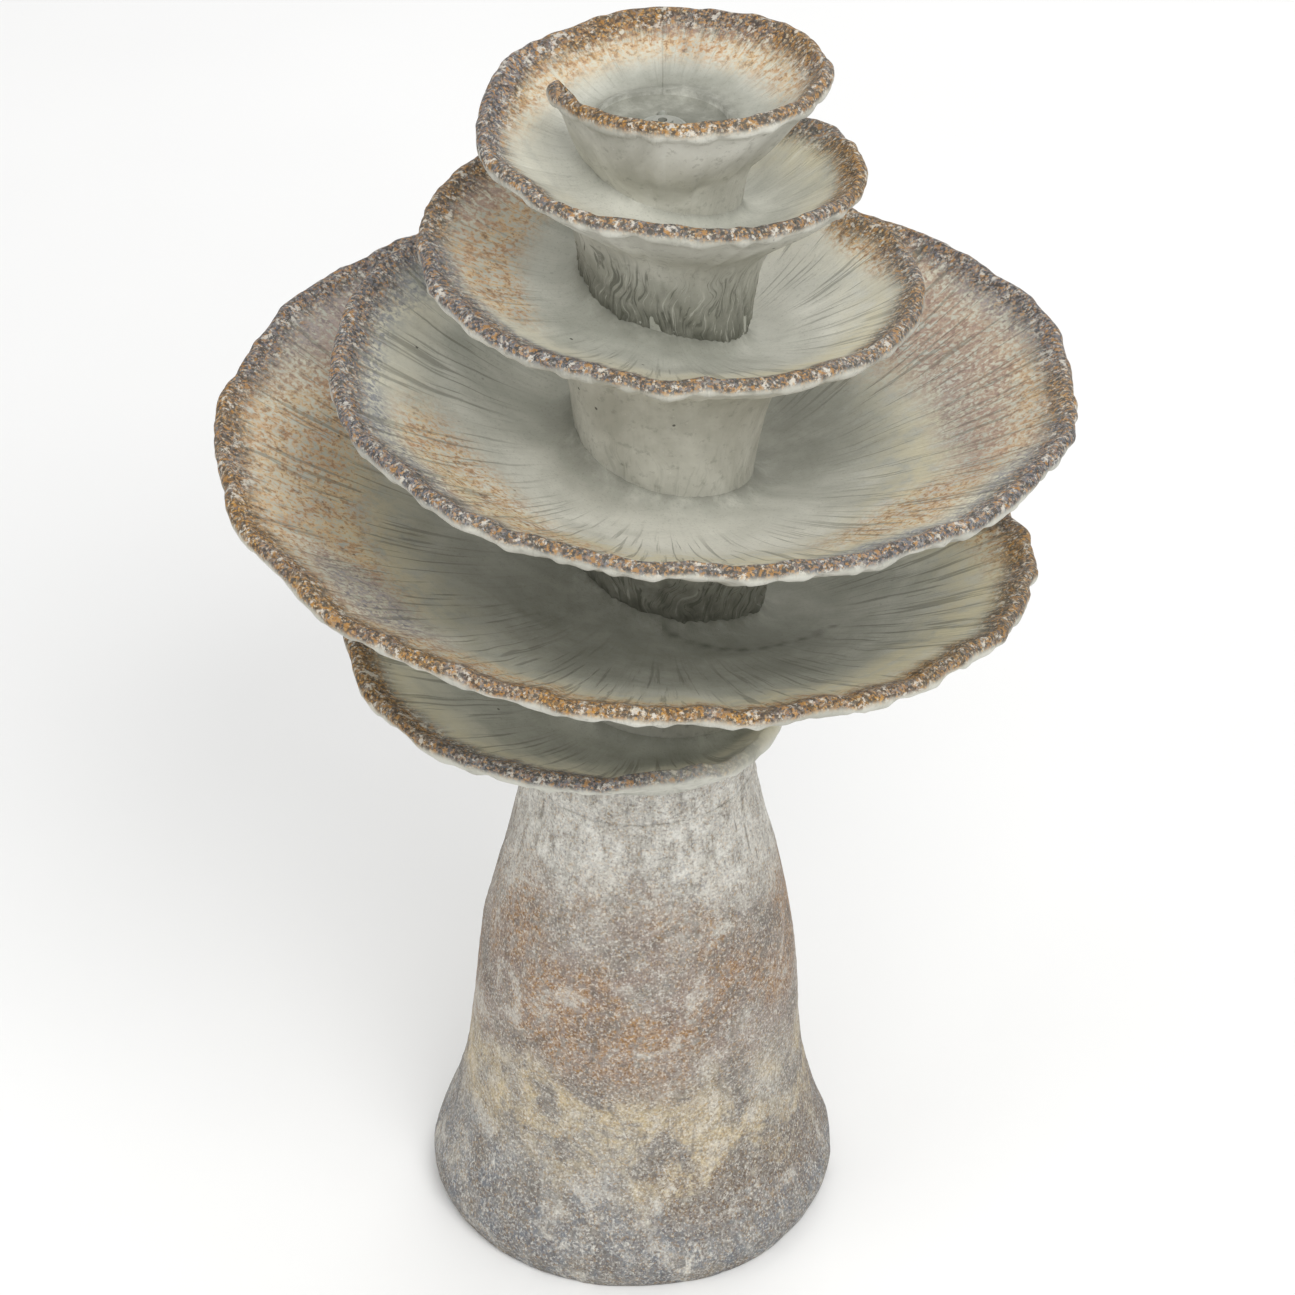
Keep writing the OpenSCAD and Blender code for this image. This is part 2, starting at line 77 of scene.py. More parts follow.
# (height, radius) lines of the pedestal's outside and of its well
FOOT_LINE = [(0, 166), (12, 169.5), (26, 170.5), (46, 164.5), (70, 155.5),
             (95, 148), (125, 141.5), (165, 137), (210, 134.5), (265, 128.5),
             (320, 117.5), (375, 103.5), (430, 92)]
WELL_LINE = [(40, 116), (50, 122), (70, 123), (100, 119), (140, 113), (200, 109),
             (260, 103), (320, 92), (380, 79.5), (430, 72)]
FLOOR_T = 40.0

HATCH_W, HATCH_H, HATCH_SILL, HATCH_CORNER = 96.0, 120.0, 234.0, 14.0
LEDGE_W, PANEL_T, GASKET_T, PANEL_GAP = 11.0, 12.0, 2.0, 1.0
SCREW_HOLE_R = 5.5
STOPPER_X, STOPPER_Y, STOPPER_R = 78.0, -10.0, 13.0
GROOVE_W, GROOVE_H = 14.0, 12.0

# ---- resolution of the visual meshes, in millimetres, degrees or points ----

RIM_STEP = 2.4           # along a rim
TRUNK_STEP, TRUNK_TURN_STEP = 3.0, 1.25     # up and around a trunk
FOOT_STEP, FOOT_TURN_STEP = 3.0, 1.2        # up and around the pedestal
WELL_RINGS = 50
DISH_RINGS_LEAST, TRUNK_RINGS_LEAST = 60, 8
UPPER_POINTS = 34        # across the bowl, around the lip and across the underside
LIP_POINTS = 12
UNDER_POINTS = 24
PATCH_POINTS = 26        # along each edge of the service opening, and from its middle out
CORNER_POINTS = 9

CORE_R, CORE_OVERLAP = 6.0, 2.0     # the plug that closes the middle of the pedestal's floor
CLEAR = 5.0                         # how far a cutter runs past the face it opens


# ---- curves and noise ----

CURVE_KNOTS, PLANE_KNOTS = 1024, 256        # values before the noise repeats


def station(values, s):
    """Smooth curve through one value for each quarter turn, at turn angles s in degrees."""
    v = np.asarray(values, float)
    x = np.asarray(s, float) / 90
    i = np.floor(x).astype(int)
    t = x - i
    a, b, c, d = (v[np.clip(i + k, 0, len(v) - 1)] for k in (-1, 0, 1, 2))
    return b + 0.5 * t * (c - a + t * (2 * a - 5 * b + 4 * c - d + t * (3 * (b - c) + d - a)))


def smooth_line(line, z):
    """Radius of a (height, radius) line at heights z, with rounded corners."""
    zs, rs = np.array(line, float).T
    k = np.interp(z, zs, np.arange(len(zs)))
    return station(rs, k * 90)


def ease(x):
    """Smooth step from 0 at x = 0 to 1 at x = 1."""
    c = np.clip(x, 0, 1)
    return c * c * (3 - 2 * c)


def wander(x, seed):
    """Smooth random curve between -1 and 1, with a new value for each unit of x."""
    knots = np.random.RandomState(seed).uniform(-1, 1, CURVE_KNOTS)
    i = np.floor(x).astype(int)
    t = ease(x - i)
    return knots[i % CURVE_KNOTS] * (1 - t) + knots[(i + 1) % CURVE_KNOTS] * t


def wander2(x, y, seed):
    """Smooth random surface between -1 and 1, with a new value for each unit of x and y."""
    knots = np.random.RandomState(seed).uniform(-1, 1, (PLANE_KNOTS, PLANE_KNOTS))
    i, j = np.floor(x).astype(int), np.floor(y).astype(int)
    u, v = ease(x - i), ease(y - j)
    at = lambda a, b: knots[a % PLANE_KNOTS, b % PLANE_KNOTS]
    low = at(i, j) * (1 - u) + at(i + 1, j) * u
    high = at(i, j + 1) * (1 - u) + at(i + 1, j + 1) * u
    return low * (1 - v) + high * v


_arc_s = np.linspace(-90, 2160, 4501)
_arc_mm = np.concatenate([[0], np.cumsum(np.radians(np.diff(_arc_s)) * station(RIM_R, _arc_s[1:]))])


def rim_arc(s):
    """Length along the rim in millimetres, which runs on from turn to turn."""
    return np.interp(s, _arc_s, _arc_mm)


# ---- the spiral ----

def trunk_r(z):
    """Radius of the trunk, and of the neck below it, at height z."""
    z = np.asarray(z, float)
    neck = TRUNK_FOOT_R + (BED_Z[4] - z) * (NECK_OUT_R - TRUNK_FOOT_R) / (BED_Z[4] - PEDESTAL_H)
    trunk = TRUNK_FOOT_R - (z - BED_Z[4]) * (TRUNK_FOOT_R - TRUNK_HEAD_R) / (BED_Z[0] - BED_Z[4])
    return np.where(z < BED_Z[4], neck, trunk)


def axis_at(z):
    """X of the trunk's or the neck's centre at height z."""
    foot = PEDESTAL_H * math.tan(LEAN)
    return foot + (AXIS_X - foot) * ease((np.asarray(z, float) - PEDESTAL_H) / (BED_Z[4] - PEDESTAL_H))


# Patches of colour on the dishes, each by its turn angle, that angle's spread, its reach from
# the trunk (0) to the rim (1), and the reach's spread. The last two tables are painted shade,
# which darkens, and painted light, which lightens.
OCHRE = [(235, 70, 0.75, 0.35), (325, 40, 0.85, 0.3), (700, 34, 0.66, 0.28), (742, 20, 0.62, 0.2),
         (930, 18, 0.88, 0.1), (1118, 26, 0.66, 0.2), (1146, 16, 0.8, 0.12), (1222, 20, 0.68, 0.16),
         (1258, 18, 0.84, 0.12), (1318, 46, 0.84, 0.3), (1425, 34, 0.86, 0.24), (1462, 26, 0.84, 0.2),
         (1505, 22, 0.93, 0.12), (1545, 30, 0.95, 0.1), (1640, 30, 0.93, 0.13), (540, 24, 0.93, 0.1),
         (1800, 50, 0.97, 0.06), (60, 50, 0.9, 0.2)]
SLATE = [(745, 20, 0.93, 0.14), (776, 22, 0.92, 0.1), (1112, 30, 0.93, 0.12), (1080, 26, 0.95, 0.1),
         (1236, 16, 0.94, 0.1), (1203, 16, 0.92, 0.1), (1478, 16, 0.8, 0.12), (350, 40, 0.94, 0.1),
         (1400, 26, 0.95, 0.14), (1040, 26, 0.9, 0.16), (1880, 40, 0.93, 0.14), (1290, 20, 0.97, 0.1)]
MAUVE = [(1330, 40, 0.78, 0.22), (1395, 22, 0.82, 0.14), (1270, 30, 0.72, 0.14), (250, 50, 0.9, 0.2),
         (690, 26, 0.84, 0.2)]
CREAM = [(1150, 46, 0.7, 0.14), (1180, 40, 0.8, 0.12), (1540, 46, 0.84, 0.14), (1590, 34, 0.84, 0.16),
         (1250, 40, 0.56, 0.14), (1455, 30, 0.62, 0.16), (600, 60, 0.8, 0.2), (460, 40, 0.8, 0.16),
         (860, 60, 0.76, 0.18), (1850, 60, 0.85, 0.12), (1660, 40, 0.8, 0.16)]
PAINTED_SHADE_PATCHES = [(1500, 60, 0.25, 0.4), (1560, 50, 0.3, 0.3), (1890, 110, 0.3, 0.4), (800, 60, 0.0, 0.18),
        (1120, 50, 0.05, 0.12), (1290, 60, 0.25, 0.3), (250, 90, 0.1, 0.25)]
PAINTED_LIGHT_PATCHES = [(1170, 70, 0.42, 0.4), (450, 70, 0.5, 0.4), (905, 60, 0.6, 0.4), (960, 40, 0.6, 0.3),
        (1350, 40, 0.9, 0.25)]

# The hairline crack across the bowl of the fifth level: turn angle of its middle, half its
# length, the angle where it would meet the trunk line, degrees for each reach, and its width.
CRACK_MID, CRACK_HALF, CRACK_START, CRACK_SLOPE, CRACK_WIDTH = 1565, 35, 1530, 260, 0.012


def patches(table, s, reach):
    """Strength of a table of patches at each turn angle and reach."""
    total = np.zeros(np.broadcast(s, reach).shape)
    for centre, spread, at, depth in table:
        total += np.exp(-((s - centre) / spread) ** 2 - ((reach - at) / depth) ** 2)
    return np.clip(total, 0, 1)


def dish_rings(s):
    """Cross-sections of the dish at turn angles s, each from the root over the lip to the foot.

    Returns radius, height, reach (0 at the trunk to 1 at the rim, negative below), inset from the
    crest along the surface, how strongly slurry flows there, and how much painted shade its creases
    get.
    """
    s = s[:, None]
    arc = rim_arc(s)
    grow = 0.1 + 0.9 * ease((s - TIP_S + TIP_FADE) / TIP_FADE)
    low = station(FLOOR_Z, s)
    under = np.where(s < BUTT_S + 4 * 360, station(FLOOR_Z, s + 360) + 4, NECK_UNDER_Z)
    root, foot = trunk_r(low), trunk_r(under)
    fade = ease((MERGE_S - s) / 60) * grow
    crest = low + (station(CREST_Z, s) - low) * grow
    crest = crest + fade * (1.6 * wander(arc / 34, 1) + 0.5 * wander(arc / 14, 2))
    scallop = 2.8 * wander(arc / 32, 3) + 2.0 * np.abs(wander(arc / 19, 4)) + 0.25 * wander(arc / 7, 5)
    rim = root + (station(RIM_R, s) - root) * grow
    rim = np.maximum(root + 3, rim + fade * scallop)
    lip = RIM_THICK / 2 * (0.86 + 0.16 * wander(arc / 10, 6))
    lip = np.minimum(np.minimum(lip, (rim - root) / 2.2), (crest - low) / 2)
    lip_r = rim - lip
    root_web = np.maximum(0, low - under - 2 * lip - WEB)

    t = np.linspace(0, 1, UPPER_POINTS)[None, 1:-1] ** 1.15
    up_r = root + (lip_r - root) * t
    gill = wander(arc / 7.5 + 2 * wander2(t * 3, arc / 60, 7), 8) + 0.6 * wander(arc / 4, 9)
    ribbed = ease((t - 0.35) / 0.6) * (0.55 + 0.45 * wander2(arc / 90, t * 3, 10))
    up_z = low + (crest - low) * t ** BOWL_POWER + fade * 0.75 * gill * ribbed
    up_z = up_z + 0.9 * wander2(up_r / 22, s / 14, 11) * ease(t / 0.2)
    bank = ease((s - BUTT_S) / 60)
    up_z = up_z + 13 * np.exp(-(up_r - root) / 7) * bank

    a = np.radians(np.linspace(95, -75, LIP_POINTS))[None, :]
    knob = fade * (0.4 * wander2(arc / 9, a * 1.6, 12) + 0.15 * wander2(arc / 5, a * 3, 13))
    lip_rr = lip_r + (lip + knob) * np.cos(a)
    lip_z = crest - lip + (lip + knob) * np.sin(a)

    v = (1 - np.linspace(0, 1, UNDER_POINTS)[None, 1:-1]) ** 2.2
    flow = 0.3 + 1.3 * np.exp(-((s - 450) / 160) ** 4) + 1.1 * np.exp(-((s - 1170) / 160) ** 4)
    flow = flow * (1 - v) ** 9
    bend = 34 * np.sqrt(v) + 3.5 * wander2(s / 26, 5 * np.sqrt(v), 22)
    runs = wander(s / 4.4 + bend, 22) + 0.5 * wander(s / 2.1 + 1.7 * bend, 23)
    lumps = wander2(s / 15, 8 * np.sqrt(v), 24)
    un_r = foot + (lip_r - foot) * v + flow * (1.3 * runs + 1.6 * lumps) * ease(v / 0.004)
    un_z = (low + (crest - low) * v ** BOWL_POWER - 2 * lip - WEB * (1 - v)
            - root_web * (1 - v) ** FLARE_POWER)
    un_z = un_z + 1.2 * wander2(un_r / 26, s / 9, 14) * ease(v / 0.2)

    radius = np.hstack([root - EMBED, up_r, lip_rr, un_r, foot - EMBED])
    height = np.hstack([low + 14 * bank, up_z, lip_z, un_z, low - 2 * lip - WEB - root_web])
    ones, zeros = np.ones_like(s), np.zeros_like(s)
    reach = np.hstack([zeros, ones * t, ones * np.ones_like(a), ones * (-v), zeros - 0.001])
    step = np.hypot(np.diff(radius, axis=1), np.diff(height, axis=1))
    along = np.hstack([zeros, np.cumsum(step, axis=1)])
    crest_at = along[:, [UPPER_POINTS - 1]]
    bare = np.zeros((len(s), UPPER_POINTS - 2 + LIP_POINTS))
    flowing = np.hstack([zeros, bare, flow, zeros])
    # painted shade where the underside comes down to the floor below, and in the hollows between its
    # runs
    crease = np.clip(flow * (np.exp(-(un_z - under) / 9) + 0.5 * np.clip(-runs, 0, 1)), 0, 1)
    crease = np.hstack([zeros, bare, crease, zeros])
    return radius, height, reach, crest_at - along, flowing, crease


def linked(name, data):
    """New object of a mesh, light or camera, in the scene."""
    obj = bpy.data.objects.new(name, data)
    bpy.context.collection.objects.link(obj)
    return obj


def shell(name, grid, wrap_u, ends, attributes):
    """Smooth mesh from a (rings, points, 3) grid in millimetres, each ring closed.

    The last ring joins the first if wrap_u is set; otherwise ends caps both.
    """
    m, n = grid.shape[:2]
    index = np.arange(m * n).reshape(m, n)
    rows = index if not wrap_u else np.vstack([index, index[:1]])
    a, b = rows[:-1], rows[1:]
    quads = np.stack([a, b, np.roll(b, -1, 1), np.roll(a, -1, 1)], -1).reshape(-1, 4)
    faces = [tuple(q) for q in quads.tolist()]
    if ends and not wrap_u:
        faces += [tuple(index[0].tolist()), tuple(index[-1][::-1].tolist())]
    mesh = bpy.data.meshes.new(name)
    mesh.from_pydata((grid.reshape(-1, 3) * MM).tolist(), [], faces)
    mesh.polygons.foreach_set("use_smooth", [True] * len(mesh.polygons))
    for key, values in attributes.items():
        layer = mesh.attributes.new(key, "FLOAT", "POINT")
        layer.data.foreach_set("value", np.ascontiguousarray(values, dtype=np.float32).ravel())
    return linked(name, mesh)


def dish(name, from_s, to_s):
    """One casting's stretch of the dish between two turn angles."""
    length = float(rim_arc(to_s) - rim_arc(from_s))
    s = np.linspace(from_s, to_s, max(DISH_RINGS_LEAST, int(length / RIM_STEP)))
    radius, height, reach, inset, flowing, crease = dish_rings(s)
    angle = np.radians(180 + s)[:, None]
    grid = np.stack([axis_at(height) + radius * np.cos(angle), radius * np.sin(angle), height], -1)
    wide = np.broadcast_to(s[:, None], reach.shape)
    up = np.where(reach > 0, reach, -1)
    off_crack = up - 0.04 - (wide - CRACK_START) / CRACK_SLOPE
    crack = np.exp(-(off_crack / CRACK_WIDTH) ** 2) * (np.abs(wide - CRACK_MID) < CRACK_HALF)
    # painted shade in the corner where the bowl meets its trunk
    foot_line = np.exp(-np.maximum(reach, 0) / 0.05) * (reach >= 0) * 0.8
    return shell(name, grid, False, True, {
        "turn": wide / 360,
        "reach": reach,
        "inset": inset * MM,
        "along": np.broadcast_to(rim_arc(s)[:, None], reach.shape) * MM,
        "ochre": patches(OCHRE, wide, up),
        "slate": patches(SLATE, wide, up),
        "mauve": patches(MAUVE, wide, up),
        "cream": patches(CREAM, wide, up),
        "painted_shade": patches(PAINTED_SHADE_PATCHES, wide, up),
        "painted_light": patches(PAINTED_LIGHT_PATCHES, wide, up),
        # painted shade of the creases and of the bowl's foot, together with the real hairline crack
        "groove": np.clip(foot_line + crease + crack, 0, 1),
        "flowing": flowing})


def floor_gap(theta, z):
    """Height above the dish floor that meets the trunk under each point, in millimetres."""
    far, turns = 1e3, 7
    gap = np.full(np.broadcast(theta, z).shape, far)
    for turn in range(turns):
        s = (theta - 180) % 360 + 360 * turn
        h = z - station(FLOOR_Z, s)
        gap = np.where((h > -2) & (h < gap), h, gap)
    return gap


def trunk(name, bottom, top, outer, inner, recessed=False, flow=1.0):
    """A ring of trunk or neck between two heights, its outside marked by runs of slurry."""
    theta = np.arange(0, 360, TRUNK_TURN_STEP)
    z = np.linspace(bottom, top, max(TRUNK_RINGS_LEAST, int((top - bottom) / TRUNK_STEP)))
    t, zz = theta[:, None], z[None, :]
    sweep = t / 5 + 1.6 * wander2(t / 24, zz / 60, 21) + (zz - bottom) / 90
    runs = wander(sweep, 22) + 0.5 * wander(sweep * 2.3, 23)
    lumps = wander2(t / 30, zz / 35, 24)
    gap = floor_gap(t, zz)
    calm = ease(gap / 30)
    out = outer(zz) + flow * calm * (1.2 * runs + 1.2 * lumps)
    # painted shade at the trunk's foot, where it meets the dish below, and in the hollows between the
    # runs of slurry
    creases = np.exp(-gap / 7) * 0.9 + 0.4 * np.clip(-runs, 0, 1) * (flow - 0.3)
    edge = [(RECESS_R + 2, top + 0.8), (RECESS_R - 2, top - 1.2), (RECESS_R - 4, RECESS_FLOOR)]
    cap_r = [np.full_like(t, r) for r, _ in edge] if recessed else []
    cap_z = [np.full_like(t, h) for _, h in edge] if recessed else []
    bore = [np.full_like(t, inner(top)), np.full_like(t, inner(bottom))]
    bore_z = [np.full_like(t, RECESS_FLOOR if recessed else top), np.full_like(t, bottom)]
    radius = np.hstack([out] + cap_r + bore)
    height = np.hstack([np.broadcast_to(zz, out.shape)] + cap_z + bore_z)
    angle = np.radians(t)
    grid = np.stack([axis_at(height) + radius * np.cos(angle), radius * np.sin(angle), height], -1)
    extra = radius.shape[1] - out.shape[1]
    pad = lambda v, end=0.0: np.hstack([v, np.full((len(theta), extra), end)])
    flat = np.zeros_like(radius)
    return shell(name, grid, True, False, {
        "turn": pad(sweep / 72),
        "reach": flat,
        "inset": pad(0.2 + 0.25 * MM * (zz - bottom) + 0 * t, 0.3),
        "along": pad(sweep * 6 * MM),
        "flowing": flat + flow,
        "ochre": flat, "slate": flat, "mauve": flat, "cream": flat, "painted_light": flat,
        # painted shade: the recess and bore rows take 0.9 here and 0.5 in the next mask, and the
        # outside takes its crease shade
        "painted_shade": pad(0 * out, 0.9),
        "groove": pad(np.clip(creases, 0, 1), 0.5)})


def joined(parts, name):
    """One object from several, which it takes the place of."""
    with bpy.context.temp_override(active_object=parts[0], selected_editable_objects=parts,
                                   object=parts[0], selected_objects=parts):
        bpy.ops.object.join()
    parts[0].name = name
    return parts[0]


def outward(obj):
    """The object with its faces turned outwards."""
    bm = bmesh.new()
    bm.from_mesh(obj.data)
    bmesh.ops.recalc_face_normals(bm, faces=bm.faces)
    bm.to_mesh(obj.data)
    bm.free()
    return obj


def cut(obj, cutters):
    """The object with the cutters taken away."""
    for cutter in cutters:
        outward(cutter)
        mod = obj.modifiers.new("cut", "BOOLEAN")
        mod.object, mod.operation, mod.solver = cutter, "DIFFERENCE", "MANIFOLD"
        dg = bpy.context.evaluated_depsgraph_get()
        mesh = bpy.data.meshes.new_from_object(obj.evaluated_get(dg))
        obj.modifiers.clear()
        obj.data = mesh
        bpy.data.objects.remove(cutter)
    return obj


def block(name, low, high):
    """A cutting box between two corners in millimetres."""
    bm = bmesh.new()
    bmesh.ops.create_cube(bm, size=1)
    mesh = bpy.data.meshes.new(name)
    lo, hi = Vector(low) * MM, Vector(high) * MM
    for v in bm.verts:
        v.co = Vector((lo[k] + (hi[k] - lo[k]) * (v.co[k] + 0.5) for k in range(3)))
    bm.to_mesh(mesh)
    bm.free()
    return linked(name, mesh)


# ---- the pedestal and its service panel ----

def foot_skin(theta, z):
    """Outer radius of the pedestal with its hand-worked unevenness, theta in degrees."""
    x, y = np.cos(np.radians(theta)), np.sin(np.radians(theta))
    r = smooth_line(FOOT_LINE, z)
    broad = 1.4 * wander2(2.2 * x + 9, z / 70 + 2.2 * y + 9, 31)
    r = r + broad + 0.9 * wander2(5 * x + 9, z / 28 + 5 * y, 32)
    pits = wander2(theta / 2.6, z / 7, 33) * wander2(theta / 5.3, z / 13, 34)
    vertical = wander(theta / 1.7 + 0.6 * wander2(theta / 8, z / 40, 35), 36)
    scored = ease((z - 330) / 70)
    mould = np.exp(-((theta + 62 - 6 * np.sin(z / 60)) / 0.5) ** 2) * ease((250 - z) / 60)
    return r + 0.7 * pits + 0.55 * scored * vertical - 0.9 * mould


def pedestal():
    """The hollow pedestal, and the plug in the middle of its floor."""
    theta = np.arange(-180, 180, FOOT_TURN_STEP)[:, None]
    rows = int(PEDESTAL_H / FOOT_STEP)
    z = np.linspace(0, PEDESTAL_H, rows)[None, :]
    well_z = np.linspace(PEDESTAL_H, FLOOR_T, WELL_RINGS)[None, :]
    base = np.full_like(theta, CORE_R)
    out_r = foot_skin(theta, z)
    out_r[:, 0] -= 1.5
    in_r = smooth_line(WELL_LINE, well_z) + 0 * theta
    radius = np.hstack([base, out_r, in_r, base])
    height = np.hstack([0 * theta, z + 0 * theta, well_z + 0 * theta, FLOOR_T + 0 * theta])
    angle = np.radians(theta)
    x = height * math.tan(LEAN) + radius * np.cos(angle)
    grid = np.stack([x, radius * np.sin(angle), height], -1)
    body = shell("stone_pedestal", grid, True, False, {})
    plug_r = CORE_R + CORE_OVERLAP
    core = lathe("core", [(0, 0), (plug_r, 0), (plug_r, FLOOR_T), (0, FLOOR_T)])
    return outward(body), core


def lathe(name, profile, x=0.0, y=0.0, sides=48):
    """Solid of revolution about an upright axis.

    The (radius, height) points start and end on the axis.
    """
    bm = bmesh.new()
    rings = []
    for r, h in profile:
        if r == 0:
            rings.append([bm.verts.new(Vector((x, y, h)) * MM)])
            continue
        turns = (2 * math.pi * k / sides for k in range(sides))
        ring = (Vector((x + r * math.cos(a), y + r * math.sin(a), h)) * MM for a in turns)
        rings.append([bm.verts.new(at) for at in ring])
    for low, high in zip(rings, rings[1:]):
        for k in range(sides):
            corner = [low[k % len(low)], low[(k + 1) % len(low)],
                      high[(k + 1) % len(high)], high[k % len(high)]]
            bm.faces.new(list(dict.fromkeys(corner)))
    bmesh.ops.recalc_face_normals(bm, faces=bm.faces)
    mesh = bpy.data.meshes.new(name)
    bm.to_mesh(mesh)
    bm.free()
    return linked(name, mesh)


def hatch_patch(name, margin, depth_out, depth_in, skin):
    """Solid patch of the rear wall, margin wider than the service opening, between two depths."""
    half_w, half_h = HATCH_W / 2 + margin, HATCH_H / 2 + margin
    corner = HATCH_CORNER + margin
    mid = HATCH_SILL + HATCH_H / 2
    rings = []
    for scale in np.linspace(0, 1, PATCH_POINTS):
        ring = []
        for k in range(4):
            start = 90 * k
            cx = (half_w - corner) * (1 if k in (0, 3) else -1)
            cz = (half_h - corner) * (1 if k in (0, 1) else -1)
            for a in np.radians(np.linspace(start, start + 90, CORNER_POINTS)):
                ring.append((scale * (cx + corner * math.cos(a)), scale * (cz + corner * math.sin(a))))
            side_x, side_z = [(-1, 1), (-1, -1), (1, -1), (1, 1)][k]
            ex, ez = (half_w - corner) * side_x, (half_h - corner) * side_z
            last, a = ring[-1], math.radians(start + 90)
            goal = (scale * (ex + corner * math.cos(a)), scale * (ez + corner * math.sin(a)))
            for f in np.linspace(0, 1, PATCH_POINTS)[1:-1]:
                ring.append((last[0] + (goal[0] - last[0]) * f, last[1] + (goal[1] - last[1]) * f))
        rings.append(ring)
    flat = np.array(rings)[1:]
    x, z = flat[..., 0], flat[..., 1] + mid
    centre = z * math.tan(LEAN)

    def face(depth):
        r = skin(x, z) - depth
        return np.stack([x, np.sqrt(np.maximum(r * r - (x - centre) ** 2, 1)), z], -1)

    grid = np.concatenate([face(depth_out), face(depth_in)[::-1]], 0)
    m, n = grid.shape[:2]
    faces = []
    for i in range(m - 1):
        for j in range(n):
            a, b = i * n + j, i * n + (j + 1) % n
            faces.append((a, b, b + n, a + n))
    faces += [tuple(range(n))[::-1], tuple(range((m - 1) * n, m * n))]
    mesh = bpy.data.meshes.new(name)
    mesh.from_pydata((grid.reshape(-1, 3) * MM).tolist(), [], faces)
    mesh.polygons.foreach_set("use_smooth", [True] * len(mesh.polygons))
    return outward(linked(name, mesh))


def plain_skin(x, z):
    """Radius of the pedestal's rear face as designed, the same at every x."""
    return smooth_line(FOOT_LINE, z)


def worked_skin(x, z):
    """Radius of the pedestal's rear face with its unevenness."""
    y = np.sqrt(smooth_line(FOOT_LINE, z) ** 2 - x ** 2)
    return foot_skin(np.degrees(np.arctan2(y, x - z * math.tan(LEAN))), z)


# ---- materials ----

class Shader:
    """A material's node tree, built by calls that return output sockets."""

    def __init__(self, name):
        self.material = bpy.data.materials.new(name)
        self.material.use_nodes = True
        self.tree = self.material.node_tree
        self.tree.nodes.clear()

    def node(self, kind, inputs=(), **props):
        """New node, its inputs by name or number: a socket is linked, anything else is a value."""
        n = self.tree.nodes.new("ShaderNode" + kind)
        for key, value in props.items():
            setattr(n, key, value)
        for key, value in dict(inputs).items():
            socket = n.inputs[key]
            if isinstance(value, bpy.types.NodeSocket):
                self.tree.links.new(value, socket)
            else:
                socket.default_value = value
        return n

    def place(self):
        return self.node("TexCoord").outputs["Object"]

    def attribute(self, name):
        return self.node("Attribute", attribute_name=name, attribute_type="GEOMETRY").outputs["Fac"]

    def math(self, operation, a, b=0.0):
        return self.node("Math", {0: a, 1: b}, operation=operation).outputs[0]

    def times(self, a, b):
        return self.math("MULTIPLY", a, b)

    def plus(self, a, b):
        return self.math("ADD", a, b)

    def scaled(self, vector, scale):
        return self.node("VectorMath", {0: vector, 1: scale}, operation="MULTIPLY").outputs[0]

    def noise(self, vector, scale, detail=4.0, rough=0.55, bend=0.0):
        return self.node("TexNoise", {"Vector": vector, "Scale": scale, "Detail": detail,
                                      "Roughness": rough, "Distortion": bend}).outputs["Fac"]

    def step(self, value, low, high):
        """Smooth step from 0 at low to 1 at high; low may be the larger."""
        return self.node("MapRange", {"Value": value, "From Min": low, "From Max": high},
                         interpolation_type="SMOOTHSTEP").outputs[0]

    def mix(self, a, b, share):
        """Colour from a at share 0 to b at share 1."""
        return self.node("Mix", {0: share, 6: a, 7: b}, data_type="RGBA").outputs[2]

    def stretched(self, x, y):
        """Place made of two values, such as a length along the rim and one across it."""
        return self.node("CombineXYZ", {0: x, 1: y, 2: 0.0}).outputs[0]

    def cells(self, vector, scale, palette):
        """Grains in random colours of a palette."""
        pick = self.node("TexVoronoi", {"Vector": vector, "Scale": scale, "Randomness": 1.0})
        tone = self.node("SeparateColor", {0: pick.outputs["Color"]}).outputs[0]
        ramp = self.node("ValToRGB", {0: tone})
        ramp.color_ramp.interpolation = "CONSTANT"
        stops = ramp.color_ramp.elements
        while len(stops) < len(palette):
            stops.new(0.5)
        for k, stop in enumerate(list(stops)):
            stop.position = k / len(palette)
        for k, colour in enumerate(palette):
            stops[k].color = colour
        return ramp.outputs[0]

    def finish(self, colour, roughness, height=None, depth=0.001, strength=0.5, **sockets):
        """The material, with a bump if there is a height."""
        shader = self.node("BsdfPrincipled", {"Base Color": colour, "Roughness": roughness})
        for key, value in sockets.items():
            shader.inputs[key.replace("_", " ")].default_value = value
        if height is not None:
            bump = self.node("Bump", {"Height": height, "Distance": depth, "Strength": strength})
            self.tree.links.new(bump.outputs[0], shader.inputs["Normal"])
        out = self.node("OutputMaterial", {"Surface": shader.outputs[0]})
        out.is_active_output = True
        return self.material


def shade(text):
    """Linear colour from a hex triplet."""
    part = [int(text[i:i + 2], 16) / 255 for i in (0, 2, 4)]
    return (*[c / 12.92 if c <= 0.04045 else ((c + 0.055) / 1.055) ** 2.4 for c in part], 1.0)


SPECKLE = [shade(c) for c in ("2c2827", "5a4030", "8d6234", "b8873f", "5d5e66", "8f8679",
                              "3b3a3f", "bdb29c", "7d6c5e", "443c37", "a07c4c", "6e4c2e")]
GRIT = [shade(c) for c in ("8d8274", "a59c92", "b8b2a8", "6b5646",
                           "cfcbc1", "968f8b", "a98b62", "6f7077")]


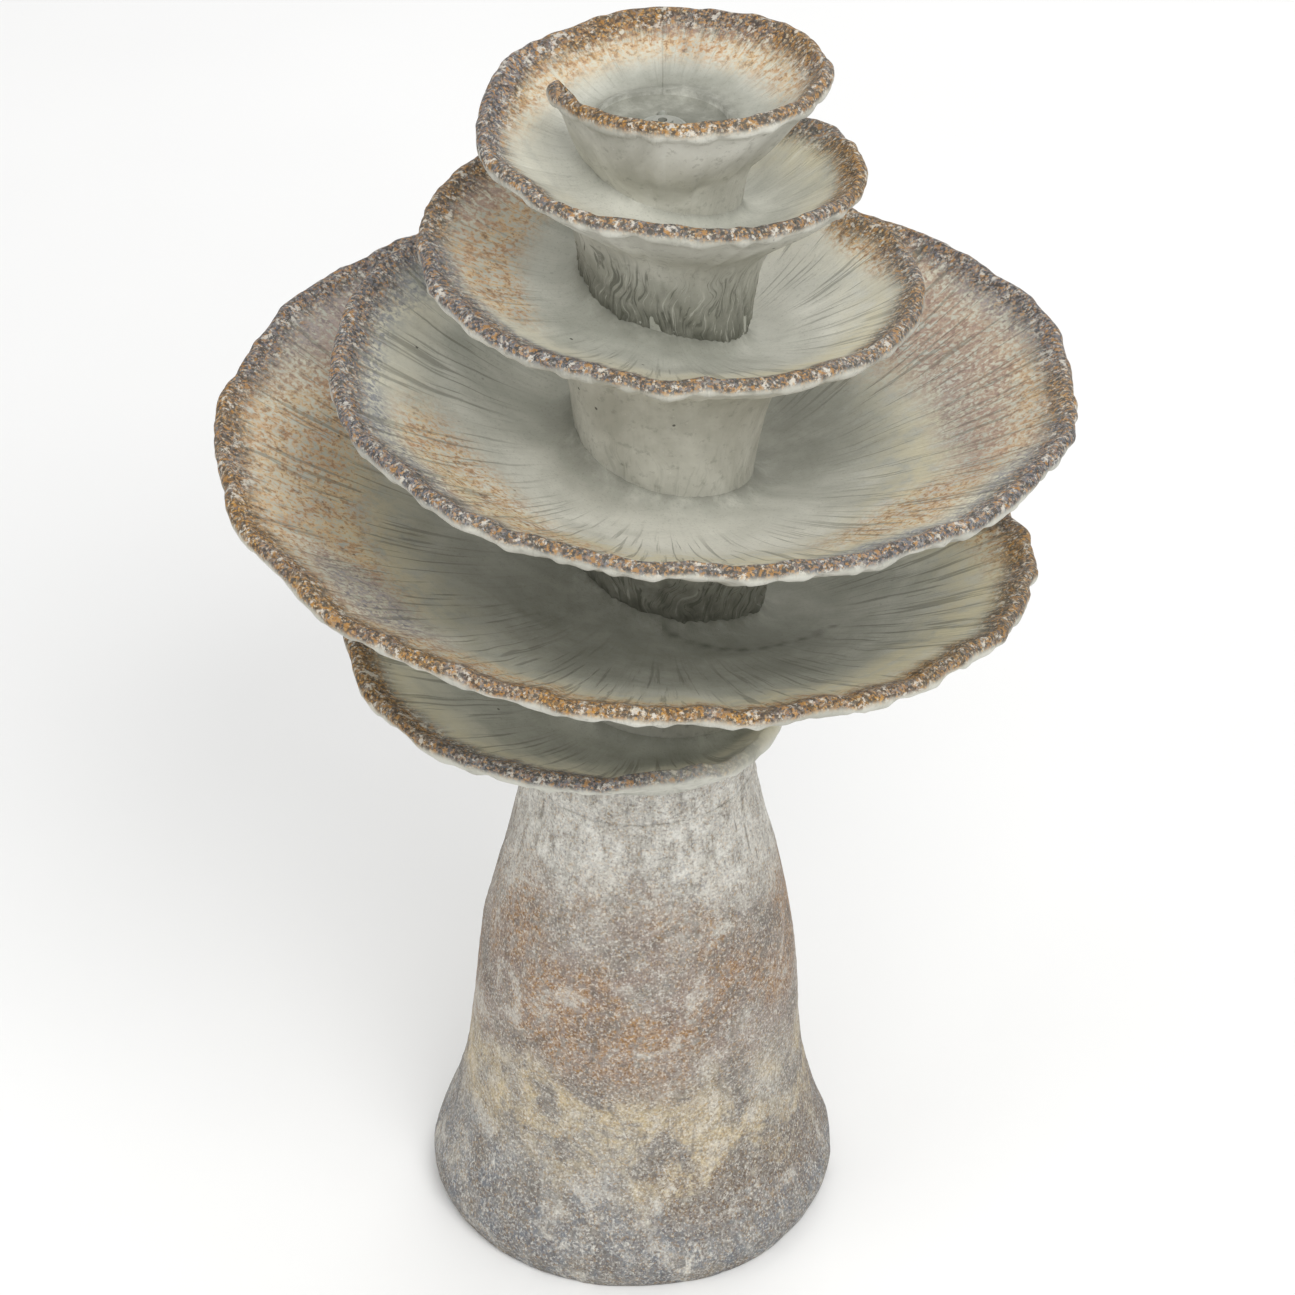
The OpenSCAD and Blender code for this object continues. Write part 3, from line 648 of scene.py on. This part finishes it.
def dish_stone():
    """Pale cast stone of the dishes, coloured by the meshes' attributes, with speckled rims."""
    g = Shader("stone_dish")
    place = g.place()
    turn, along = g.attribute("turn"), g.attribute("along")
    reach, inset = g.attribute("reach"), g.attribute("inset")
    ochre, slate = g.attribute("ochre"), g.attribute("slate")
    mauve, cream, groove = g.attribute("mauve"), g.attribute("cream"), g.attribute("groove")
    grain = g.noise(place, 420, 3, 0.7)
    mottle = g.noise(place, 60, 5, 0.62)
    cloud = g.noise(place, 11, 5, 0.6, 0.6)
    ragged = g.noise(place, 130, 4, 0.7)
    spread = g.stretched(g.times(turn, 360.0), g.times(inset, 18.0))
    fine = g.stretched(g.times(along, 260.0), g.times(inset, 22.0))
    rays = g.noise(spread, 0.55, 4, 0.6, 0.35)
    gills = g.noise(fine, 1.0, 3, 0.6, 0.5)
    coarse = g.stretched(g.times(along, 150.0), g.times(inset, 9.0))
    lines = g.noise(coarse, 1.0, 3, 0.55, 0.4)

    # the bowl
    colour = g.mix(shade("a3a499"), shade("c6c6bb"), g.step(cloud, 0.3, 0.68))
    colour = g.mix(colour, shade("b4b5a9"), g.times(g.step(mottle, 0.45, 0.75), 0.4))
    dark_ray = g.times(g.step(rays, 0.5, 0.3), g.step(reach, 0.03, 0.3))
    colour = g.mix(colour, shade("8b8b81"), g.times(dark_ray, 0.32))
    flowing = g.attribute("flowing")
    drawn = g.times(g.step(lines, 0.45, 0.36), g.step(reach, 0.15, 0.5))
    # painted shade from the darkening patches, then painted light from the lightening patches
    painted_shade = g.times(g.attribute("painted_shade"), g.plus(0.35, g.times(mottle, 0.45)))
    colour = g.mix(colour, shade("6f7064"), painted_shade)
    # painted light, lightening the parts of the bowls that catch the most light
    painted_light = g.times(g.attribute("painted_light"), g.plus(0.2, g.times(cloud, 0.8)))
    colour = g.mix(colour, shade("eceadf"), painted_light)
    colour = g.mix(colour, shade("5d5e54"), g.times(g.step(grain, 0.56, 0.66), 0.22))
    halo = g.times(g.step(inset, 0.09, 0.025), g.step(reach, 0.2, 0.6))
    colour = g.mix(colour, shade("d0cbb6"), g.times(halo, g.step(cloud, 0.3, 0.7)))
    colour = g.mix(colour, shade("d3c9a6"), g.times(g.times(cream, g.step(mottle, 0.3, 0.6)), 0.62))
    colour = g.mix(colour, shade("dad9ce"), g.times(g.times(g.step(gills, 0.55, 0.75), halo), 0.55))

    # the patches of stain
    sponge = g.noise(place, 240, 2, 0.6, 0.3)
    crumbs = g.plus(g.times(ragged, 0.2), g.times(gills, 0.25))
    loose = g.step(g.plus(g.times(sponge, 0.55), crumbs), 0.42, 0.56)
    gold = g.mix(shade("bd9164"), shade("d2b283"), g.step(mottle, 0.35, 0.65))
    gold = g.mix(gold, shade("8a5c36"), g.times(g.step(sponge, 0.55, 0.66), 0.75))
    gold = g.mix(gold, shade("594436"), g.times(g.step(ragged, 0.58, 0.68), 0.6))
    colour = g.mix(colour, gold, g.times(g.times(g.step(ochre, 0.08, 0.75), loose), 0.82))
    blue = g.mix(shade("6f737c"), shade("a2a3a3"), g.step(ragged, 0.4, 0.62))
    colour = g.mix(colour, blue, g.times(g.times(g.step(slate, 0.1, 0.8), loose), 0.85))
    plum = g.mix(shade("8f7c76"), shade("b3a097"), g.step(ragged, 0.4, 0.62))
    colour = g.mix(colour, plum, g.times(g.times(g.step(mauve, 0.1, 0.8), loose), 0.75))

    # the rim's speckle
    rim_tone = g.mix(shade("7a7069"), shade("a37e3c"), g.step(ochre, 0.0, 0.5))
    stray = g.times(g.step(g.noise(place, 14, 3), 0.5, 0.58), 0.7)
    bluish = g.math("MAXIMUM", g.step(slate, 0.02, 0.4), stray)
    rim_tone = g.mix(rim_tone, shade("7b8089"), bluish)
    speck = g.mix(g.cells(place, 560, SPECKLE), rim_tone, g.plus(0.26, g.times(bluish, 0.12)))
    dark = g.step(g.noise(place, 300, 3, 0.65), 0.48, 0.57)
    speck = g.mix(speck, shade("282321"), g.times(dark, 0.85))
    speck = g.mix(speck, shade("dad5ca"), g.times(g.step(ragged, 0.44, 0.36), 0.7))
    golden = g.step(g.noise(place, 210, 3, 0.6), 0.56, 0.64)
    speck = g.mix(speck, shade("a9772f"), g.times(golden, 0.7))
    width = g.plus(g.times(cloud, 0.024), g.times(g.noise(spread, 1.3, 3, 0.6), 0.030))
    band = g.step(g.math("SUBTRACT", g.math("ABSOLUTE", g.plus(inset, 0.002)), width), 0.006, -0.018)
    band = g.times(band, g.times(g.step(inset, -0.018, -0.009), g.step(turn, 5.36, 5.2)))
    band = g.times(band, g.step(g.plus(g.times(mottle, 0.8), g.times(ragged, 0.6)), 0.4, 0.6))
    chalk = g.times(g.step(g.math("ABSOLUTE", inset), 0.03, 0.004), g.step(mottle, 0.44, 0.34))
    colour = g.mix(colour, shade("cfcabf"), g.times(chalk, 0.7))
    colour = g.mix(colour, speck, g.times(band, 0.9))
    inked = g.times(g.times(drawn, g.step(inset, 0.0, 0.012)), g.step(turn, 0.6, 3.2))
    colour = g.mix(colour, shade("66655a"), g.times(inked, 0.5))
    zoned = g.math("MAXIMUM", g.math("MAXIMUM", ochre, slate), mauve)
    dust = g.times(g.times(zoned, g.step(ragged, 0.5, 0.66)), g.step(reach, 0.2, 0.5))
    colour = g.mix(colour, speck, g.times(dust, 0.35))

    # the underside, with its drips
    below = g.step(inset, -0.009, -0.016)
    pale = g.mix(shade("adaca1"), shade("d0cfc5"), g.step(cloud, 0.3, 0.66))
    pale = g.mix(pale, shade("86857b"), g.times(g.step(ragged, 0.54, 0.68), 0.4))
    stained = g.step(flowing, 0.2, 1.0)
    pale = g.mix(pale, shade("7e7f73"), g.times(stained, g.plus(0.3, g.times(mottle, 0.6))))
    sway = g.times(g.noise(place, 16, 2), 16.0)
    down = g.stretched(g.plus(g.times(turn, 130.0), sway), g.times(inset, 26.0))
    drips = g.noise(down, 1.0, 4, 0.62, 0.9)
    dripped = g.times(g.step(drips, 0.47, 0.38), g.step(flowing, 0.05, 0.8))
    pale = g.mix(pale, shade("55564c"), g.times(dripped, 0.7))
    low_down = g.times(stained, g.step(g.plus(flowing, g.times(cloud, 0.8)), 1.2, 1.9))
    pale = g.mix(pale, shade("5e5f54"), g.times(low_down, 0.6))
    pale = g.mix(pale, shade("d4d3c8"), g.times(g.times(g.step(drips, 0.58, 0.68), stained), 0.5))
    colour = g.mix(colour, pale, below)

    # creases and pinholes darkened with painted shade (the groove mask also holds the real hairline
    # crack), and bright grains
    colour = g.mix(colour, shade("4c4d43"), g.times(g.times(groove, g.step(mottle, 0.2, 0.6)), 0.7))
    # pinholes: small dents in the bump, their darkness painted shade
    holes = g.node("TexVoronoi", {"Vector": place, "Scale": 42.0}).outputs["Distance"]
    pin = g.times(g.step(holes, 0.07, 0.04), g.step(g.noise(place, 6, 2), 0.55, 0.62))
    colour = g.mix(colour, shade("3f3f39"), g.times(pin, 0.8))
    colour = g.mix(colour, shade("f2f0e8"), g.times(g.step(grain, 0.66, 0.74), 0.25))

    height = g.plus(g.times(grain, 0.35), g.times(mottle, 0.5))
    height = g.plus(height, g.times(g.times(gills, g.step(reach, 0.25, 0.8)), 1.1))
    height = g.math("SUBTRACT", height, g.times(drawn, 0.6))
    height = g.plus(height, g.times(g.times(drips, flowing), 1.2))
    height = g.plus(height, g.times(rays, 0.5))
    rough_band = g.times(ragged, g.plus(g.times(band, 0.7), 0.15))
    height = g.math("SUBTRACT", g.plus(height, rough_band), g.times(pin, 0.8))
    rough = g.plus(0.62, g.times(mottle, 0.25))
    return g.finish(colour, rough, height, 0.0015, 0.55, Specular_IOR_Level=0.3)


def foot_stone():
    """Darker, sandblasted stone of the pedestal and the neck, in bands of height."""
    g = Shader("stone_foot")
    place = g.place()
    up = g.node("SeparateXYZ", {0: place}).outputs
    grain = g.noise(place, 380, 3, 0.7)
    ragged = g.noise(place, 150, 4, 0.72)
    mottle = g.noise(place, 46, 5, 0.62, 0.3)
    cloud = g.noise(place, 7.5, 4, 0.6, 0.8)
    blot = g.noise(place, 26, 5, 0.68, 0.6)
    patch = g.noise(g.scaled(place, (1.0, 1.0, 0.8)), 10.5, 3, 0.55, 0.5)
    streak = g.noise(g.scaled(place, (1.0, 1.0, 0.09)), 150, 4, 0.6, 0.2)
    high = g.plus(up["Z"], g.times(g.math("SUBTRACT", cloud, 0.5), 0.2))

    colour = g.mix(shade("878279"), shade("b3b0a7"), g.step(mottle, 0.32, 0.68))
    mauve = g.times(g.step(high, 0.13, 0.25), g.step(high, 0.40, 0.28))
    colour = g.mix(colour, shade("8a7a70"), g.times(mauve, g.step(mottle, 0.3, 0.62)))
    rust = g.times(g.step(high, 0.16, 0.24), g.step(high, 0.38, 0.31))
    rust = g.times(rust, g.step(patch, 0.42, 0.58))
    colour = g.mix(colour, shade("9a7142"), g.times(rust, g.step(ragged, 0.42, 0.56)))
    sand = g.times(g.step(high, 0.08, 0.12), g.step(high, 0.21, 0.15))
    sand = g.times(sand, g.step(patch, 0.34, 0.52))
    colour = g.mix(colour, shade("ceb888"), g.times(sand, g.times(g.step(blot, 0.62, 0.4), 0.75)))
    slate = g.times(g.step(high, 0.115, 0.05), g.step(mottle, 0.3, 0.6))
    colour = g.mix(colour, shade("666d76"), g.times(slate, 0.9))
    low_band = g.times(g.step(up["Z"], 0.135, 0.09), g.step(up["Z"], 0.03, 0.065))
    brown = g.times(g.times(low_band, g.step(up["X"], -0.01, 0.05)), g.step(patch, 0.42, 0.56))
    colour = g.mix(colour, shade("5f5044"), g.times(brown, g.times(g.step(ragged, 0.36, 0.54), 0.8)))
    streaky = g.plus(g.times(streak, 0.6), g.times(mottle, 0.4))
    pale = g.times(g.step(high, 0.31, 0.40), g.step(streaky, 0.3, 0.6))
    colour = g.mix(colour, shade("e6e5de"), g.times(pale, 0.8))
    scratch = g.times(g.step(high, 0.09, 0.05), g.step(streak, 0.6, 0.7))
    colour = g.mix(colour, shade("dedcd3"), g.times(scratch, 0.7))

    grit = g.cells(place, 620, GRIT)
    sponge = g.noise(place, 420, 3, 0.65, 0.3)
    worn = g.times(g.step(blot, 0.5, 0.62), g.step(high, 0.42, 0.3))
    colour = g.mix(colour, shade("5f5953"), g.times(worn, 0.6))
    colour = g.mix(colour, shade("d2cec4"), g.times(g.step(blot, 0.47, 0.36), 0.6))
    colour = g.mix(colour, grit, g.times(g.step(ragged, 0.36, 0.56), 0.45))
    colour = g.mix(colour, shade("5d554d"), g.times(g.step(sponge, 0.54, 0.68), 0.5))
    colour = g.mix(colour, shade("e4e1d8"), g.times(g.step(sponge, 0.46, 0.34), 0.5))
    scar = g.times(g.step(streak, 0.4, 0.33), g.step(mottle, 0.45, 0.6))
    colour = g.mix(colour, shade("6d655d"), g.times(scar, 0.5))
    height = g.plus(g.times(grain, 0.4), g.plus(g.times(ragged, 1.0), g.times(mottle, 0.5)))
    height = g.plus(height, g.times(g.times(streak, g.step(high, 0.28, 0.38)), 0.6))
    rough = g.plus(0.7, g.times(mottle, 0.2))
    return g.finish(colour, rough, height, 0.0026, 0.6, Specular_IOR_Level=0.3)


def moulded(name, colour, rough=0.5, grain=900, bump=0.12, metal=0.0, spread=0.18, **sockets):
    """Plastic, rubber or metal with a fine grain and a slightly uneven tone."""
    g = Shader(name)
    place = g.place()
    fine = g.noise(place, grain, 3, 0.6)
    slow = g.noise(place, 45, 4, 0.6)
    tint = shade(colour)
    dark = tuple(c * (1 - spread) for c in tint[:3]) + (1.0,)
    light = tuple(min(1, c * (1 + spread)) for c in tint[:3]) + (1.0,)
    tone = g.mix(dark, light, g.step(slow, 0.3, 0.7))
    dusty = g.mix(tone, shade("8a8880"), g.times(g.step(slow, 0.62, 0.8), 0.12))
    roughness = g.plus(rough - 0.08, g.times(slow, 0.16))
    return g.finish(dusty, roughness, fine, 0.0006, bump, Metallic=metal, **sockets)


def banded(name, colour_a, colour_b, scale, axis, rough, metal):
    """Fine parallel layers, such as laminations or a wire winding."""
    g = Shader(name)
    place = g.place()
    wave = g.node("TexWave", {"Vector": place, "Scale": scale, "Distortion": 0.4, "Detail": 1.0},
                  wave_type="BANDS", bands_direction=axis).outputs["Fac"]
    slow = g.noise(place, 120, 3, 0.6)
    tone = g.mix(shade(colour_a), shade(colour_b), wave)
    tone = g.mix(tone, shade("2a2622"), g.times(g.step(slow, 0.55, 0.8), 0.3))
    return g.finish(tone, rough, wave, 0.0004, 0.5, Metallic=metal)


# ---- camera, floor and light ----

def stage_and_camera():
    """The photograph's view, its white floor and its soft light."""
    camera = bpy.data.cameras.new("camera")
    camera.lens, camera.sensor_width = 127.9, 36
    eye = linked("camera", camera)
    target, distance, up = Vector((0.0128, 0, 0.539)), 3.68, math.radians(35)
    eye.location = target + Vector((0, -math.cos(up), math.sin(up))) * distance
    eye.rotation_euler = (math.pi / 2 - up, 0, 0)
    camera.clip_start, camera.clip_end = 0.05, 100
    bpy.context.scene.camera = eye

    mesh = bpy.data.meshes.new("floor")
    mesh.from_pydata([(-30, -30, 0), (30, -30, 0), (30, 30, 0), (-30, 30, 0)], [], [(0, 1, 2, 3)])
    floor = linked("floor", mesh)
    g = Shader("floor")
    tone = g.mix((0.86, 0.86, 0.855, 1), (0.9, 0.9, 0.895, 1), g.noise(g.place(), 2, 2))
    mesh.materials.append(g.finish(tone, 0.9, Specular_IOR_Level=0.1))

    def panel(name, place, size, power):
        light = bpy.data.lights.new(name, "AREA")
        light.shape, light.size, light.energy = "DISK", size, power
        lamp = linked(name, light)
        lamp.location = place
        aim = Vector((0, 0, 0.5)) - Vector(place)
        lamp.rotation_euler = aim.to_track_quat("-Z", "Y").to_euler()

    panel("key", (1.0, -2.4, 3.4), 2.2, 78)
    panel("fill", (-2.8, -1.6, 2.2), 2.6, 14)
    panel("back", (0.8, 3.0, 2.8), 2.6, 30)
    world = bpy.data.worlds.new("world")
    world.use_nodes = True
    sky = world.node_tree.nodes["Background"]
    sky.inputs["Color"].default_value = (1, 1, 1, 1)
    sky.inputs["Strength"].default_value = 0.75
    bpy.context.scene.world = world
    bpy.context.scene.view_settings.view_transform = "Standard"


# ---- assembly ----

def return_cutter():
    """The water return's rounded opening through the neck's front wall."""
    middle = (RETURN_SILL + BED_Z[4]) / 2
    wide, tall = RETURN_W / 2, (BED_Z[4] - RETURN_SILL) / 2
    near, far = 40, 112      # from the spiral's axis, to either side of the neck's wall
    cutter = lathe("return", [(0, near), (1, near), (1, far), (0, far)], sides=40)
    for v in cutter.data.vertices:
        x, y, z = v.co / MM
        most = max(abs(x), abs(y))
        squared = most ** 0.35 if most > 0 else 1
        v.co = Vector((AXIS_X + x / squared * wide, -z, middle + y / squared * tall)) * MM
    return cutter


def neck_inside(z):
    """Radius of the neck's passage at height z."""
    return NECK_IN_R + (z - PEDESTAL_H) * (NECK_TOP_IN_R - NECK_IN_R) / (BED_Z[4] - PEDESTAL_H)


def build_stone():
    """The seven castings and the service panel, each in place of its CAD node."""
    stone, foot = dish_stone(), foot_stone()
    turns = ["top_cup", "spiral_tier_2", "spiral_tier_3",
             "spiral_tier_4", "spiral_tier_5", "catch_tier"]
    flows = [0.4, 0.8, 1.5, 0.8, 1.2, 0.35]
    for k, (node, flow) in enumerate(zip(turns, flows)):
        top_turn, neck_turn = k == 0, k == len(turns) - 1
        start = TIP_S - TIP_FADE if top_turn else BUTT_S + 360 * (k - 1)
        end = MERGE_S if neck_turn else BUTT_S + 360 * k
        spiral = dish("dish", start, end)
        if neck_turn:
            core = outward(trunk("trunk", BED_Z[k], BED_Z[k - 1], trunk_r, neck_inside, flow=flow))
            core = cut(core, [return_cutter()])
        else:
            top = RECESS_EDGE if top_turn else BED_Z[k - 1]
            core = trunk("trunk", BED_Z[k], top, trunk_r, lambda z: BORE_R, top_turn, flow)
        spiral.data.materials.append(stone)
        core.data.materials.clear()
        core.data.materials.append(foot if neck_turn else stone)
        piece = joined([outward(spiral), outward(core)], "stone_" + node)
        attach(piece, "root")
        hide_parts(node)

    body, core = pedestal()
    past_wall, through_wall = -8, 60         # depths under the pedestal's outer face
    past_foot, through_floor = 220, 60
    groove = block("groove", (math.hypot(STOPPER_X, STOPPER_Y), -GROOVE_W / 2, -CLEAR),
                   (past_foot, GROOVE_W / 2, GROOVE_H))
    groove.data.transform(Matrix.Rotation(math.atan2(STOPPER_Y, STOPPER_X), 4, "Z"))
    hole = [(0, -CLEAR), (STOPPER_R, -CLEAR), (STOPPER_R, through_floor), (0, through_floor)]
    cutters = [hatch_patch("rebate", LEDGE_W, past_wall, PANEL_T + GASKET_T, plain_skin),
               hatch_patch("opening", 0, past_wall, through_wall, plain_skin),
               lathe("hole", hole, STOPPER_X, STOPPER_Y),
               groove]
    body = joined([cut(body, cutters), core], "stone_pedestal")
    body.data.materials.clear()
    body.data.materials.append(foot)
    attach(body, "root")
    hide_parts("pedestal")

    door = hatch_patch("stone_service_panel", LEDGE_W - PANEL_GAP, 0, PANEL_T, worked_skin)
    screw_z = (HATCH_SILL - LEDGE_W / 2, HATCH_SILL + HATCH_H + LEDGE_W / 2)
    near, far = 60, 200      # from the pedestal's axis, to either side of the panel
    bit = [(0, near), (SCREW_HOLE_R, near), (SCREW_HOLE_R, far), (0, far)]
    drills = []
    for z in screw_z:
        drill = lathe("drill", bit, sides=24)
        drill.data.transform(Matrix.Rotation(-math.pi / 2, 4, "X"))
        drill.data.transform(Matrix.Translation((0, 0, z * MM)))
        drills.append(drill)
    door = cut(door, drills)
    door.name = "stone_service_panel"
    door.data.materials.clear()
    door.data.materials.append(foot)
    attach(door, "panel")
    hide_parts("access_panel")


def finish_cad_nodes():
    """Materials for the CAD nodes that stay."""
    rubber = moulded("rubber", "1e1f20", 0.78, 700, 0.2)
    plastic = moulded("pump_plastic", "202225", 0.48, 1400, 0.25)
    steel = moulded("steel", "b4b7b9", 0.28, 1600, 0.1, 1.0, 0.06)
    looks = {
        "panel_gasket": rubber, "cord_stopper": rubber, "riser_grommets": rubber,
        "shaft_bushings": rubber, "volute_ring": rubber, "suction_feet": rubber, "pump_gland": rubber,
        "panel_screws": steel, "hose_clamps": steel,
        "panel_inserts": moulded("brass", "b8924a", 0.3, 1500, 0.1, 1.0, 0.08),
        "supply_hose": moulded("vinyl", "b9bdbc", 0.35, 500, 0.08, 0.0, 0.05, Transmission_Weight=0.35),
        "riser_pipe": moulded("pvc", "dcdcd6", 0.4, 900, 0.06, 0.0, 0.04),
        "outlet_fitting": moulded("putty_plastic", "8b8c83", 0.6, 600, 0.2),
        "pump_housing": plastic, "motor_cap": plastic, "volute_cover": plastic, "intake_cover": plastic,
        "outlet_sealant": moulded("sealant", "8e9086", 0.45, 300, 0.2, 0.0, 0.1),
        "stator_core": banded("laminations", "5c5f63", "85888c", 500, "Y", 0.45, 1.0),
        "stator_coil": banded("winding", "7e4420", "c57c43", 700, "X", 0.35, 0.9),
        "rotor_magnet": moulded("ferrite", "2c2d30", 0.55, 1100, 0.15),
        "impeller": moulded("acetal", "dedcd2", 0.38, 900, 0.06, 0.0, 0.04),
        "rotor_shaft": moulded("shaft_ceramic", "e3ddcb", 0.15, 1200, 0.03, 0.0, 0.03),
        "flow_dial": moulded("dial_plastic", "43464b", 0.45, 1400, 0.25),
    }
    for node, material in looks.items():
        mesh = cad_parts[node].data
        mesh.materials.clear()
        mesh.materials.append(material)


stage_and_camera()
build_stone()
finish_cad_nodes()
